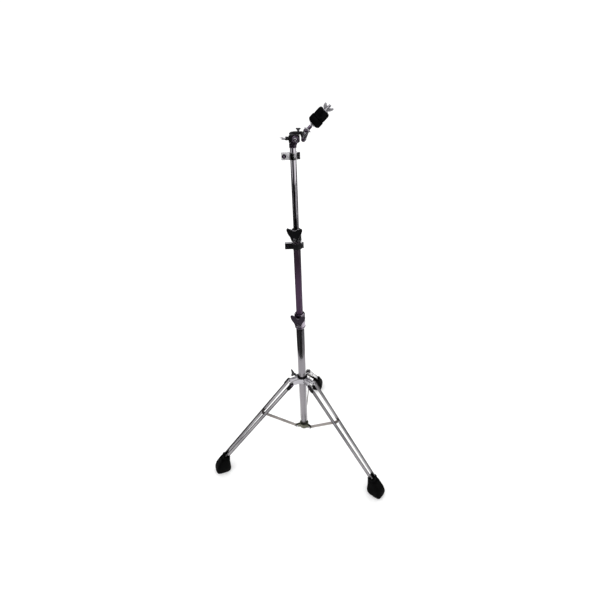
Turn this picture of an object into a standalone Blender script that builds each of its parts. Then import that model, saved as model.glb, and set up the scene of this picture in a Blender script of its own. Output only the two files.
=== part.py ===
"""Cymbal stand with a folding tripod, a three-stage telescopic column, a boom that slides down
inside the column, and a tilting cymbal seat.

Metres, +Z up. The floor is z = 0, and the origin is under the middle of the footprint.
Every moving group hangs on an empty that lies on its joint's axis.
"""
import math

import bmesh
import bpy
from mathutils import Matrix

# ---------------------------------------------------------------- driving dimensions
GAP = 0.0003                 # clearance between touching pieces
COLUMN_Y = -0.0970           # column axis, so that the footprint is centred on the origin
MERGE = 0.000002             # points closer than this are one
ROUND = 28                   # sides of a turned piece
FINE_ROUND = 16              # sides of a small turned piece

# tubes: outer radius, wall, lowest and highest point
BASE_R, BASE_WALL, BASE_LOW, BASE_TOP = 0.0159, 0.0012, 0.1280, 0.7350
MIDDLE_R, MIDDLE_WALL, MIDDLE_LOW, MIDDLE_TOP = 0.0127, 0.0013, 0.4200, 1.0720
UPPER_R, UPPER_WALL, UPPER_LOW, UPPER_TOP = 0.00955, 0.0012, 0.6500, 1.3460
BOOM_R, BOOM_LOW, BOOM_TOP = 0.00635, 0.8000, 1.3785

# tripod, in the vertical plane of each leg: distance from the column axis, height
LEG_AZIMUTHS = {"right": -30.0, "rear": 90.0, "left": 210.0}
HUB_PIVOT = (0.0540, 0.4080)
COLLAR_PIVOT = (0.0360, 0.1420)
LEG_SLOPE = math.radians(46.0)        # below horizontal, at rest
BRACE_JOINT = 0.1830                  # from the hub pivot to the brace joint, along the leg
RAIL_START, RAIL_END = -0.0090, 0.4590    # along the leg from the hub pivot
RAIL_INSIDE = (0.0135, 0.0072)        # lateral place of a rail's inner face at the pivot and at its end
RAIL_DEPTH, RAIL_WIDTH, RAIL_WALL = 0.0160, 0.0045, 0.0016
BRACE_WIDTH, BRACE_THICK = 0.0120, 0.0030
HUB_LOW, HUB_HIGH, HUB_RING_HIGH = 0.3980, 0.4240, 0.4300
HUB_SCREW_SIDE, HUB_SCREW_Z = 150.0, 0.4110

# column clamps and memory locks
CLAMP_SIDE = -90.0                    # the side that the wing bolts stand on
LOWER_CLAMP, LOWER_CLAMP_R, LOWER_BOLT_Z = (0.6780, 0.7420), 0.0205, 0.7095
UPPER_CLAMP, UPPER_CLAMP_R, UPPER_BOLT_Z = (1.0340, 1.0780), 0.0165, 1.0520
BOLT_R = 0.0040                       # shank of a clamp's wing bolt
LOCK_SIDE = 192.0                     # the side that the memory locks' lugs point to

# head, in the plane of the tilter: distance from the column axis, height
RATCHET = (0.0112, 1.3614)
ARM_PIVOT = (0.0339, 1.3594)
ROD_PIVOT = (0.0430, 1.3833)
ROD_LEAN = math.radians(46.5)         # of the cymbal rod, from vertical
T_SCREW_X = 0.0182
ROD_Y = 0.0042                        # the cymbal rod stands this far behind the column axis

# along the cymbal rod, from its pivot
SEAT, LOWER_FELT, UPPER_FELT, NUT = 0.0210, 0.0272, 0.0486, 0.0757
ROD_R, SLEEVE_R, ROD_END = 0.0040, 0.0062, 0.0970

CHROME = ((0.62, 0.62, 0.64), 0.18, 1.0)
DARK_CHROME = ((0.20, 0.16, 0.22), 0.20, 1.0)
BLACK_METAL = ((0.03, 0.03, 0.035), 0.35, 0.6)
RUBBER = ((0.015, 0.015, 0.015), 0.80, 0.0)
FELT = ((0.010, 0.010, 0.010), 0.95, 0.0)
NYLON = ((0.020, 0.020, 0.022), 0.45, 0.0)


# ---------------------------------------------------------------- scene helpers
def clear_scene():
    for obj in list(bpy.data.objects):
        bpy.data.objects.remove(obj, do_unlink=True)


def material(name, look):
    """A Principled material of this name, made once."""
    found = bpy.data.materials.get(name)
    if found:
        return found
    colour, roughness, metallic = look
    made = bpy.data.materials.new(name)
    made.use_nodes = True
    shader = made.node_tree.nodes["Principled BSDF"]
    shader.inputs["Base Color"].default_value = (*colour, 1.0)
    shader.inputs["Roughness"].default_value = roughness
    shader.inputs["Metallic"].default_value = metallic
    return made


def empty(name, location, parent=None, rotation=(0.0, 0.0, 0.0)):
    """A joint frame; its children are given in its own axes."""
    made = bpy.data.objects.new(name, None)
    made.empty_display_size = 0.02
    made.location = location
    made.rotation_euler = rotation
    made.parent = parent
    bpy.context.collection.objects.link(made)
    return made


def place(name, mesh, look, parent, location=(0.0, 0.0, 0.0), rotation=(0.0, 0.0, 0.0)):
    """The finished node: one named object with its own material."""
    mesh.name = name
    mesh.shade_smooth()
    mesh.set_sharp_from_angle(angle=math.radians(35.0))
    obj = bpy.data.objects.new(name, mesh)
    obj.location = location
    obj.rotation_euler = rotation
    obj.parent = parent
    obj.data.materials.append(material(name + "_finish", look))
    bpy.context.collection.objects.link(obj)
    return obj


# ---------------------------------------------------------------- shape helpers
def to_mesh(bm):
    bmesh.ops.recalc_face_normals(bm, faces=bm.faces)
    mesh = bpy.data.meshes.new("shape")
    bm.to_mesh(mesh)
    bm.free()
    return mesh


def turned(profile, sides=ROUND):
    """A (radius, height) profile turned about Z; it closes on itself, or on flat ends at radius 0."""
    solid = profile[0][0] == 0
    points = profile[1:-1] if solid else profile
    bm = bmesh.new()
    rings = []
    for radius, height in points:
        angles = [2.0 * math.pi * k / sides for k in range(sides)]
        rings.append([bm.verts.new((radius * math.cos(a), radius * math.sin(a), height)) for a in angles])
    for low, high in zip(rings, rings[1:] + ([] if solid else rings[:1])):
        for k in range(sides):
            n = (k + 1) % sides
            bm.faces.new((low[k], low[n], high[n], high[k]))
    if solid:
        bm.faces.new(rings[0])
        bm.faces.new(rings[-1])
    return to_mesh(bm)


def tube(outer, inner, low, high, sides=ROUND):
    return turned([(outer, low), (outer, high), (inner, high), (inner, low)], sides)


def rod(radius, low, high, sides=FINE_ROUND, chamfer=0.0):
    """A solid cylinder along Z, with chamfered ends if asked."""
    if chamfer:
        profile = [(0, low), (radius - chamfer, low), (radius, low + chamfer),
                   (radius, high - chamfer), (radius - chamfer, high), (0, high)]
    else:
        profile = [(0, low), (radius, low), (radius, high), (0, high)]
    return turned(profile, sides)


def prism(outline, low, high):
    """An outline of (x, y) points extruded along Z."""
    bm = bmesh.new()
    bottom = [bm.verts.new((x, y, low)) for x, y in outline]
    top = [bm.verts.new((x, y, high)) for x, y in outline]
    bm.faces.new(bottom)
    bm.faces.new(top)
    for k in range(len(outline)):
        n = (k + 1) % len(outline)
        bm.faces.new((bottom[k], bottom[n], top[n], top[k]))
    return to_mesh(bm)


def loft(sections):
    """Closed rings of equal length, skinned in order and capped at both ends."""
    bm = bmesh.new()
    rings = [[bm.verts.new(point) for point in ring] for ring in sections]
    count = len(rings[0])
    for low, high in zip(rings, rings[1:]):
        for k in range(count):
            n = (k + 1) % count
            bm.faces.new((low[k], low[n], high[n], high[k]))
    bm.faces.new(rings[0])
    bm.faces.new(rings[-1])
    return to_mesh(bm)


def box(x, y, z):
    """A box from three (low, high) pairs."""
    return prism([(x[0], y[0]), (x[1], y[0]), (x[1], y[1]), (x[0], y[1])], *z)


def arc(centre, radius, start, end, steps):
    """Points of a circular arc, angles in degrees."""
    turn = [math.radians(start + (end - start) * k / steps) for k in range(steps + 1)]
    return [(centre[0] + radius * math.cos(a), centre[1] + radius * math.sin(a)) for a in turn]


def link_outline(length, start_radius, end_radius, steps=8):
    """The outline of a flat link along X with round ends at 0 and at length."""
    return arc((0, 0), start_radius, 90, 270, steps) + arc((length, 0), end_radius, -90, 90, steps)


def moved(mesh, matrix):
    mesh.transform(matrix)
    return mesh


def shifted(mesh, x, y, z):
    return moved(mesh, Matrix.Translation((x, y, z)))


def along_x(mesh):
    """What stood along +Z now lies along +X."""
    return moved(mesh, Matrix.Rotation(math.radians(90.0), 4, "Y"))


def along_y(mesh):
    """What stood along +Z now lies along +Y, with +X kept and +Y turned to -Z."""
    return moved(mesh, Matrix.Rotation(math.radians(-90.0), 4, "X"))


def upright(mesh):
    """A flat (x, y) outline becomes an (x, z) outline; its thickness runs along -Y."""
    return moved(mesh, Matrix.Rotation(math.radians(90.0), 4, "X"))


def boolean(base, tools, operation):
    """The mesh of base after an exact Boolean with each tool in turn."""
    host = bpy.data.objects.new("host", base)
    bpy.context.collection.objects.link(host)
    helpers = []
    for mesh in tools:
        tool = bpy.data.objects.new("tool", mesh)
        bpy.context.collection.objects.link(tool)
        modifier = host.modifiers.new("cut", "BOOLEAN")
        modifier.operation = operation
        modifier.solver = "EXACT"
        modifier.object = tool
        helpers.append(tool)
    graph = bpy.context.evaluated_depsgraph_get()
    result = bpy.data.meshes.new_from_object(host.evaluated_get(graph))
    for obj in [host, *helpers]:
        bpy.data.objects.remove(obj, do_unlink=True)
    bm = bmesh.new()
    bm.from_mesh(result)
    bmesh.ops.remove_doubles(bm, verts=bm.verts, dist=MERGE)
    bmesh.ops.dissolve_degenerate(bm, edges=bm.edges, dist=MERGE)
    return to_mesh(bm)


def joined(base, *tools):
    return boolean(base, tools, "UNION")


def cut(base, *tools):
    return boolean(base, tools, "DIFFERENCE")


def at_azimuth(mesh, degrees):
    return moved(mesh, Matrix.Rotation(math.radians(degrees), 4, "Z"))


# ---------------------------------------------------------------- column
def side_hole(side, height, radius, reach):
    """A cutter for a radial hole."""
    return at_azimuth(shifted(along_x(rod(radius, 0.0, reach)), 0, 0, height), side)


def cross_hole(x, z, radius, sides=16):
    """A cutter for a hole along Y."""
    return shifted(along_y(rod(radius, -0.04, 0.04, sides)), x, 0, z)


def plate(outline, low, high):
    """An (x, z) outline standing between two lateral places."""
    return shifted(upright(prism(outline, 0.0, high - low)), 0, high, 0)


def build_base(stand):
    shell = cut(tube(BASE_R, BASE_R - BASE_WALL, BASE_LOW, BASE_TOP),
                side_hole(CLAMP_SIDE, LOWER_BOLT_Z, BOLT_R + GAP, 0.03))
    place("base_tube", shell, CHROME, stand)
    inner = BASE_R - BASE_WALL - GAP
    cap = turned([(0, BASE_LOW - 0.0055), (0.0120, BASE_LOW - 0.0055), (0.0152, BASE_LOW - 0.0035),
                  (0.0152, BASE_LOW - GAP), (inner, BASE_LOW - GAP), (inner, BASE_LOW + 0.0120),
                  (0, BASE_LOW + 0.0120)])
    place("base_tube_cap", cap, RUBBER, stand)


def build_collar(stand):
    """The lower casting: a sleeve on the base tube, with a fork for each brace."""
    inner = BASE_R + GAP
    body = turned([(0, 0.1260), (0.0188, 0.1260), (0.0200, 0.1275), (0.0200, 0.1485), (0.0188, 0.1500),
                   (0, 0.1500)])
    outline = [(0.0140, 0.1279), (0.0330, 0.1347)] + arc(COLLAR_PIVOT, 0.0068, -70, 100, 7)
    outline += [(0.0290, 0.1481), (0.0140, 0.1481)]
    ears = []
    holes = []
    for azimuth in LEG_AZIMUTHS.values():
        for low in (-0.0050, 0.0020):
            ears.append(at_azimuth(plate(outline, low, low + 0.0030), azimuth))
        hole = shifted(along_y(rod(0.0030 + GAP, -0.010, 0.010, 16)), COLLAR_PIVOT[0], 0, COLLAR_PIVOT[1])
        holes.append(at_azimuth(hole, azimuth))
    bore = rod(inner, 0.10, 0.17, ROUND)
    place("brace_collar", cut(joined(body, *ears), bore, *holes), CHROME, stand)


def clamp_body(span, outer, tube_r, inner_r, tube_top, bolt_z):
    """A cast sleeve on the end of a tube, with a lip over the tube and a boss for its bolt."""
    low, high = span
    body = turned([(0, low), (outer - 0.0015, low), (outer, low + 0.0020), (outer, high - 0.0040),
                   (outer - 0.0025, high), (0, high)])
    boss = at_azimuth(shifted(along_x(rod(0.0085, tube_r + 0.0015, outer + 0.0070, 24, 0.001)),
                              0, 0, bolt_z),
                      CLAMP_SIDE)
    bore = turned([(0, low - 0.01), (tube_r + GAP, low - 0.01), (tube_r + GAP, tube_top + GAP),
                   (inner_r + GAP, tube_top + GAP), (inner_r + GAP, high + 0.01), (0, high + 0.01)])
    return cut(joined(body, boss), bore, side_hole(CLAMP_SIDE, bolt_z, BOLT_R + GAP, outer + 0.02))


def butterfly(span, top, notch, thick):
    """V-shaped wings across X, for a bolt whose axis is X."""
    half = [(0.0090, -0.0050), (span * 0.80, top * 0.40), (span, top * 0.82), (span * 0.98, top * 0.95),
            (span * 0.86, top), (span * 0.68, top * 0.95), (0.0050, notch)]
    outline = [(0.0, -0.0090)] + half + [(0.0, notch - 0.0015)] + [(-x, y) for x, y in reversed(half)]
    turn = Matrix(((0, 0, 1, 0), (1, 0, 0, 0), (0, 1, 0, 0), (0, 0, 0, 1)))
    return moved(prism(outline, 0.0, thick), turn)


def wing_bolt(shank, barrel, wings):
    """A wing bolt along +X.

    shank is (radius, tip), barrel is (radius, seat, length) and wings are (span, top, notch, thickness).
    """
    shank_r, tip = shank
    barrel_r, seat, long = barrel
    stem = along_x(rod(shank_r, tip, seat + 0.0030))
    knob = along_x(rod(barrel_r, seat, seat + long, 20, 0.001))
    flat = shifted(butterfly(*wings), seat + 0.0030, 0, 0)
    return joined(joined(knob, flat), stem)


def bolt_frame(name, parent, side, height):
    """A frame whose X axis is a radial bolt's axis."""
    return empty(name, (0, 0, height), parent, (0, 0, math.radians(side)))


def build_lower_clamp(stand):
    body = clamp_body(LOWER_CLAMP, LOWER_CLAMP_R, BASE_R, MIDDLE_R, BASE_TOP, LOWER_BOLT_Z)
    place("lower_clamp", body, CHROME, stand)
    frame = bolt_frame("lower_bolt_axis", stand, CLAMP_SIDE, LOWER_BOLT_Z)
    bolt = wing_bolt((BOLT_R, BASE_R - BASE_WALL + 0.0002), (0.0075, LOWER_CLAMP_R + 0.0074, 0.0130),
                     (0.0280, 0.0440, 0.0345, 0.0050))
    place("lower_wing_bolt", bolt, BLACK_METAL, frame)
    bush_frame = empty("lower_bush_axis", (0, 0, 0), stand)
    bush = tube(BASE_R - BASE_WALL - GAP, MIDDLE_R + GAP, BASE_TOP - 0.0450, BASE_TOP - 0.0010)
    place("lower_clamp_bush", bush, NYLON, bush_frame)
    return bush_frame


def build_middle(parent):
    frame = empty("middle_slide_axis", (0, 0, 0), parent)
    shell = cut(tube(MIDDLE_R, MIDDLE_R - MIDDLE_WALL, MIDDLE_LOW, MIDDLE_TOP),
                side_hole(CLAMP_SIDE, UPPER_BOLT_Z, BOLT_R + GAP, 0.03))
    place("middle_tube", shell, DARK_CHROME, frame)
    body = clamp_body(UPPER_CLAMP, UPPER_CLAMP_R, MIDDLE_R, UPPER_R, MIDDLE_TOP, UPPER_BOLT_Z)
    place("upper_clamp", body, BLACK_METAL, frame)
    bolt_axis = bolt_frame("upper_bolt_axis", frame, CLAMP_SIDE, UPPER_BOLT_Z)
    bolt = wing_bolt((BOLT_R, MIDDLE_R - MIDDLE_WALL + 0.0002), (0.0070, UPPER_CLAMP_R + 0.0074, 0.0120),
                     (0.0265, 0.0400, 0.0315, 0.0050))
    place("upper_wing_bolt", bolt, BLACK_METAL, bolt_axis)
    bush_frame = empty("upper_bush_axis", (0, 0, 0), frame)
    bush = tube(MIDDLE_R - MIDDLE_WALL - GAP, UPPER_R + GAP, MIDDLE_TOP - 0.0340, MIDDLE_TOP - 0.0010)
    place("upper_clamp_bush", bush, NYLON, bush_frame)
    return frame, bush_frame


def lock_half(inner, outer, lug_end, lug_half, hinge_x, height):
    """Half of a split collar on the +Y side: its lug along +X, its hinge end along -X."""
    slit = 0.0003
    shoulder = math.degrees(math.asin(lug_half / outer))
    inside = math.degrees(math.asin(slit / inner))
    heel = math.degrees(math.asin(0.0026 / outer))
    outline = arc((0, 0), inner, 180 - inside, inside, 12)
    outline += [(lug_end, slit), (lug_end, lug_half - 0.0010), (lug_end - 0.0010, lug_half)]
    outline += arc((0, 0), outer, shoulder, 180 - heel, 12)
    outline += [(-hinge_x, 0.0026), (-hinge_x, slit)]
    return prism(outline, 0.0, height)


def build_lock(name, parent, tube_r, low, height, outer, lug_end, bolt_x, hinge_x, look):
    """A memory lock: a collar half, a jaw hinged on it, and the captive key bolt in the jaw."""
    inner = tube_r + GAP
    frame = empty(name + "_axis", (0, 0, low), parent, (0, 0, math.radians(LOCK_SIDE)))
    jaw_frame = empty(name + "_hinge", (-hinge_x, 0, 0), frame)
    lug_half, knuckle = 0.0075, 0.0030
    third, middle = height / 3, height / 2
    centre_room = shifted(rod(knuckle + GAP, third - GAP, 2 * third + GAP, 20), -hinge_x, 0, 0)
    end_rooms = [shifted(rod(knuckle + GAP, -0.01, third, 20), -hinge_x, 0, 0),
                 shifted(rod(knuckle + GAP, 2 * third, height + 0.01, 20), -hinge_x, 0, 0)]
    pin_room = shifted(rod(0.0012 + GAP, -0.01, height + 0.01, 12), -hinge_x, 0, 0)

    rear = lock_half(inner, outer, lug_end, lug_half, hinge_x, height)
    rear = moved(rear, Matrix.Rotation(math.pi, 4, "X"))
    rear = cut(shifted(rear, 0, 0, height), *end_rooms)
    barrel = shifted(rod(knuckle, third, 2 * third, 20), -hinge_x, 0, 0)
    bolt_room = shifted(along_y(rod(0.0032, -0.0078, 0.0100, 16)), bolt_x, 0, middle)
    place(name + "_back", cut(joined(rear, barrel), pin_room, bolt_room), look, frame)

    jaw = cut(lock_half(inner, outer, lug_end, lug_half, hinge_x, height), centre_room)
    lower = shifted(rod(knuckle, 0.0, third - GAP, 20), -hinge_x, 0, 0)
    upper = shifted(rod(knuckle, 2 * third + GAP, height, 20), -hinge_x, 0, 0)
    pin = shifted(rod(0.0012, third / 2, height - third / 2, 12), -hinge_x, 0, 0)
    jaw = joined(joined(jaw, lower, upper), pin)
    shank_room = cross_hole(bolt_x, middle, 0.0025 + GAP)
    recess = shifted(along_y(rod(0.0068, 0.0048, 0.0200, 24)), bolt_x, 0, middle)
    place(name + "_jaw", shifted(cut(jaw, shank_room, recess), hinge_x, 0, 0), look, jaw_frame)

    shank = along_y(rod(0.0025, -0.0060, 0.0055, 16))
    collar = along_y(rod(0.0055, 0.0051, 0.0062, 20))
    head = box((-0.0030, 0.0030), (0.0058, 0.0105), (-0.0030, 0.0030))
    bolt = joined(joined(shank, collar), head)
    place(name + "_bolt", shifted(bolt, bolt_x + hinge_x, 0, middle), CHROME, jaw_frame)


# ---------------------------------------------------------------- tripod
def build_hub(stand):
    """The sliding casting that the legs hang on, its nylon liner and its wing bolt."""
    frame = empty("hub_slide_axis", (0, 0, 0), stand)
    inner = 0.0180
    body = turned([(0, HUB_LOW), (0.0193, HUB_LOW), (0.0205, HUB_LOW + 0.0015), (0.0205, HUB_HIGH),
                   (0, HUB_HIGH)])
    outline = [(0.0145, HUB_LOW + 0.0012), (0.0440, HUB_LOW + 0.0004)] + arc(HUB_PIVOT, 0.0078, -100, 90, 7)
    outline += [(0.0400, HUB_HIGH - 0.0035), (0.0145, HUB_HIGH - 0.0012)]
    cheeks = []
    holes = []
    for azimuth in LEG_AZIMUTHS.values():
        for low in (-0.0131, 0.0090):
            cheeks.append(at_azimuth(plate(outline, low, low + 0.0041), azimuth))
        holes.append(at_azimuth(shifted(along_y(rod(0.0030 + GAP, -0.014, 0.014, 16)),
                                        HUB_PIVOT[0], 0, HUB_PIVOT[1]), azimuth))
    boss = shifted(along_x(rod(0.0075, 0.0190, 0.0340, 24, 0.001)), 0, 0, HUB_SCREW_Z)
    boss = at_azimuth(boss, HUB_SCREW_SIDE)
    bore = rod(inner, HUB_LOW - 0.01, HUB_HIGH + 0.01, ROUND)
    bolt_hole = side_hole(HUB_SCREW_SIDE, HUB_SCREW_Z, 0.0030 + GAP, 0.06)
    place("leg_hub", cut(joined(body, *cheeks, boss), bore, *holes, bolt_hole), CHROME, frame)
    top = HUB_RING_HIGH
    liner = turned([(BASE_R + GAP, HUB_LOW + 0.0005), (inner - GAP, HUB_LOW + 0.0005),
                    (inner - GAP, HUB_HIGH + GAP), (0.0215, HUB_HIGH + GAP), (0.0215, top - 0.0010),
                    (0.0205, top), (BASE_R + GAP, top)])
    place("hub_ring", cut(liner, side_hole(HUB_SCREW_SIDE, HUB_SCREW_Z, 0.0030 + GAP, 0.06)), NYLON, frame)
    bolt_axis = bolt_frame("hub_bolt_axis", frame, HUB_SCREW_SIDE, HUB_SCREW_Z)
    stem = along_x(rod(0.0030, BASE_R + GAP, 0.0380))
    knob = along_x(rod(0.0055, 0.0345, 0.0500, 20, 0.001))
    wing = [(0.0440, 0.0), (0.0465, 0.0060), (0.0530, 0.0140), (0.0575, 0.0180), (0.0625, 0.0180),
            (0.0645, 0.0145), (0.0610, 0.0070), (0.0590, 0.0)]
    both = plate(wing + [(x, -z) for x, z in reversed(wing[1:-1])], -0.0017, 0.0017)
    place("hub_wing_bolt", joined(joined(knob, both), stem), BLACK_METAL, bolt_axis)
    return frame


def rail_ring(at, side, depth, clearance=0.0):
    """The section of a rail at a distance along the leg."""
    inside = RAIL_INSIDE[0] + (RAIL_INSIDE[1] - RAIL_INSIDE[0]) * at / RAIL_END - clearance
    outside = inside + RAIL_WIDTH + 2 * clearance
    if clearance:
        ring = [(inside, -depth), (outside, -depth), (outside, depth), (inside, depth)]
    else:
        floor = depth - RAIL_WALL
        ring = [(inside + 0.0008, -depth), (outside, -depth), (outside, -floor),
                (inside + RAIL_WALL, -floor), (inside + RAIL_WALL, floor), (outside, floor),
                (outside, depth), (inside + 0.0008, depth),
                (inside, depth - 0.0008), (inside, -depth + 0.0008)]
    return [(at, side * y, z) for y, z in ring]


def rail_mesh(side):
    """A shallow channel from the hub pivot to the foot, its open side outward."""
    half = RAIL_DEPTH / 2
    stations = [(RAIL_START, half * 0.55), (RAIL_START + 0.0012, half * 0.78),
                (RAIL_START + 0.0035, half * 0.95), (RAIL_START + 0.0070, half), (RAIL_END, half)]
    shell = loft([rail_ring(at, side, depth) for at, depth in stations])
    return cut(shell, along_y(rod(0.0030 + GAP, -0.03, 0.03, 16)))


def rail_slot(side):
    """The room that a rail needs in its foot."""
    half = RAIL_DEPTH / 2 + GAP
    return loft([rail_ring(at, side, half, GAP) for at in (RAIL_END - 0.06, RAIL_END + GAP)])


def foot_ring(r, z, tilt, half_long, half_wide):
    """A rounded rectangle about (r, z), tilted in the leg's plane, in the leg's hinge frame."""
    c, s = math.cos(LEG_SLOPE), math.sin(LEG_SLOPE)
    points = []
    for k in range(20):
        a = 2.0 * math.pi * (k + 0.5) / 20
        u = math.copysign(abs(math.cos(a)) ** 0.5, math.cos(a)) * half_long
        v = math.copysign(abs(math.sin(a)) ** 0.5, math.sin(a)) * half_wide
        dx = r + u * math.cos(tilt) - HUB_PIVOT[0]
        dz = z + u * math.sin(tilt) - HUB_PIVOT[1]
        points.append((dx * c - dz * s, v, dx * s + dz * c))
    return points


def foot_mesh():
    """A rubber boot: flat on the floor, widest just above it, with a socket for each rail."""
    sections = [(0.3890, 0.0000, 0.00, 0.0260, 0.0200), (0.3890, 0.0040, 0.00, 0.0310, 0.0245),
                (0.3890, 0.0190, 0.00, 0.0340, 0.0275), (0.3852, 0.0400, 0.04, 0.0295, 0.0258),
                (0.3770, 0.0600, 0.10, 0.0225, 0.0218), (0.3710, 0.0720, 0.18, 0.0180, 0.0187),
                (0.3690, 0.0740, 0.22, 0.0155, 0.0175), (0.3655, 0.0850, 0.34, 0.0155, 0.0175)]
    return cut(loft([foot_ring(*section) for section in sections]), rail_slot(1), rail_slot(-1))


def pivot_cap(side):
    """A plastic cap on a rail's open side, with a stud through the rail and the hub's cheek."""
    low = RAIL_INSIDE[0] + RAIL_WIDTH + GAP
    cap = plate(link_outline(0.0200, 0.0080, 0.0080), low, low + 0.0040)
    stud = along_y(rod(0.0030, 0.0092, low + 0.0010, 16))
    cap = joined(cap, stud)
    return cap if side > 0 else moved(cap, Matrix.Rotation(math.pi, 4, "X"))


def build_leg(hub, name, azimuth):
    turn = math.radians(azimuth)
    at = (HUB_PIVOT[0] * math.cos(turn), HUB_PIVOT[0] * math.sin(turn), HUB_PIVOT[1])
    frame = empty(f"leg_{name}_hinge", at, hub, (0, LEG_SLOPE, turn))
    for side, label in ((-1, "left"), (1, "right")):
        place(f"leg_{name}_rail_{label}", rail_mesh(side), CHROME, frame)
        place(f"leg_{name}_cap_{label}", pivot_cap(side), NYLON, frame)
    place(f"foot_{name}", foot_mesh(), RUBBER, frame)


def build_brace(stand, name, azimuth):
    """A flat strut from its fork on the collar up between the leg's rails."""
    turn = math.radians(azimuth)
    run = HUB_PIVOT[0] + BRACE_JOINT * math.cos(LEG_SLOPE) - COLLAR_PIVOT[0]
    rise = HUB_PIVOT[1] - BRACE_JOINT * math.sin(LEG_SLOPE) - COLLAR_PIVOT[1]
    length, slope = math.hypot(run, rise), math.atan2(rise, run)
    at = (COLLAR_PIVOT[0] * math.cos(turn), COLLAR_PIVOT[0] * math.sin(turn), COLLAR_PIVOT[1])
    frame = empty(f"brace_{name}_hinge", at, stand, (0, -slope, turn))
    half = BRACE_WIDTH / 2
    bar = plate(link_outline(length, half, half), -BRACE_THICK / 2, BRACE_THICK / 2)
    eye = shifted(along_y(rod(0.0050, -0.0098, 0.0098, 20, 0.0006)), length, 0, 0)
    hole = along_y(rod(0.0030 + GAP, -0.01, 0.01, 16))
    place(f"brace_{name}", cut(joined(bar, eye), hole), CHROME, frame)
    pin = turned([(0, -0.0072), (0.0042, -0.0072), (0.0050, -0.0066), (0.0050, -0.0053), (0.0030, -0.0053),
                  (0.0030, 0.0053), (0.0050, 0.0053), (0.0050, 0.0066), (0.0042, 0.0072), (0, 0.0072)], 16)
    place(f"collar_pin_{name}", along_y(pin), CHROME, stand, at, (0, 0, turn))


# ---------------------------------------------------------------- head
def pivot_bolt(shank_r, head_r, head, nut):
    """A bolt along Y with a round head and nut, each from its lower to its higher place."""
    profile = [(0, head[0]), (head_r - 0.0006, head[0]), (head_r, head[0] + 0.0006), (head_r, head[1]),
               (shank_r, head[1]), (shank_r, nut[0]), (head_r, nut[0]), (head_r, nut[1] - 0.0006),
               (head_r - 0.0006, nut[1]), (0, nut[1])]
    return along_y(turned(profile, 16))


def build_upper(parent):
    """The top tube, the socket and the cradle that the boom slides through, and their bolts."""
    frame = empty("upper_slide_axis", (0, 0, 0), parent)
    place("upper_tube", tube(UPPER_R, UPPER_R - UPPER_WALL, UPPER_LOW, UPPER_TOP), DARK_CHROME, frame)
    bx, bz = RATCHET
    cup = turned([(0, 1.3360), (0.0108, 1.3360), (0.0113, 1.3370), (0.0113, 1.3485), (0.0103, 1.3495),
                  (0, 1.3495)])
    ear = [(-0.0060, 1.3383), (0.0080, 1.3383)] + arc(RATCHET, 0.0080, -50, 130, 8) + [(-0.0060, 1.3477)]
    disc = shifted(along_y(rod(0.0100, -0.0145, -0.0093, 24, 0.0008)), bx, 0, bz)
    room = turned([(0, 1.32), (UPPER_R + GAP, 1.32), (UPPER_R + GAP, UPPER_TOP + GAP),
                   (BOOM_R + GAP, UPPER_TOP + GAP), (BOOM_R + GAP, 1.36), (0, 1.36)])
    casting = joined(cup, plate(ear, 0.0085, 0.0120), plate(ear, -0.0120, -0.0085))
    casting = cut(joined(casting, disc), room, cross_hole(bx, bz, 0.0025 + GAP))
    place("boom_socket", casting, DARK_CHROME, frame)
    block = [(-0.0105, 1.3520), (-0.0090, 1.3505), (0.0190, 1.3505), (0.0205, 1.3520), (0.0205, 1.3705),
             (0.0185, 1.3725), (-0.0085, 1.3725), (-0.0105, 1.3705)]
    boss = shifted(along_x(rod(0.0055, -0.0150, -0.0080, 20, 0.0008)), 0, 0, 1.3620)
    bolt_room = shifted(along_x(rod(0.0022 + GAP, -0.03, -0.002, 16)), 0, 0, 1.3620)
    cradle = cut(joined(plate(block, -0.0080, 0.0080), boss), rod(BOOM_R + GAP, 1.33, 1.38, FINE_ROUND),
                 cross_hole(bx, bz, 0.0025 + GAP), bolt_room)
    place("boom_cradle", cradle, BLACK_METAL, frame)
    bolt = pivot_bolt(0.0025, 0.0046, (-0.0182, -0.0148), (0.0123, 0.0160))
    place("boom_pivot_bolt", bolt, CHROME, frame, (bx, 0, bz))
    bolt_axis = empty("boom_bolt_axis", (0, 0, 1.3620), frame, (0, 0, math.pi))
    stem = along_x(rod(0.0022, BOOM_R + GAP, 0.0190, 16))
    knob = along_x(rod(0.0045, 0.0154, 0.0230, 20, 0.0008))
    wing = [(0.0165, 0.0), (0.0172, 0.0042), (0.0240, 0.0100), (0.0310, 0.0135), (0.0362, 0.0130),
            (0.0368, 0.0105), (0.0300, 0.0055), (0.0225, 0.0)]
    both = plate(wing + [(x, -z) for x, z in reversed(wing[1:-1])], -0.0016, 0.0016)
    bolt = joined(joined(knob, both), stem)
    place("boom_wing_bolt", moved(bolt, Matrix.Rotation(math.radians(-70.0), 4, "X")), CHROME, bolt_axis)
    return frame


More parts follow.
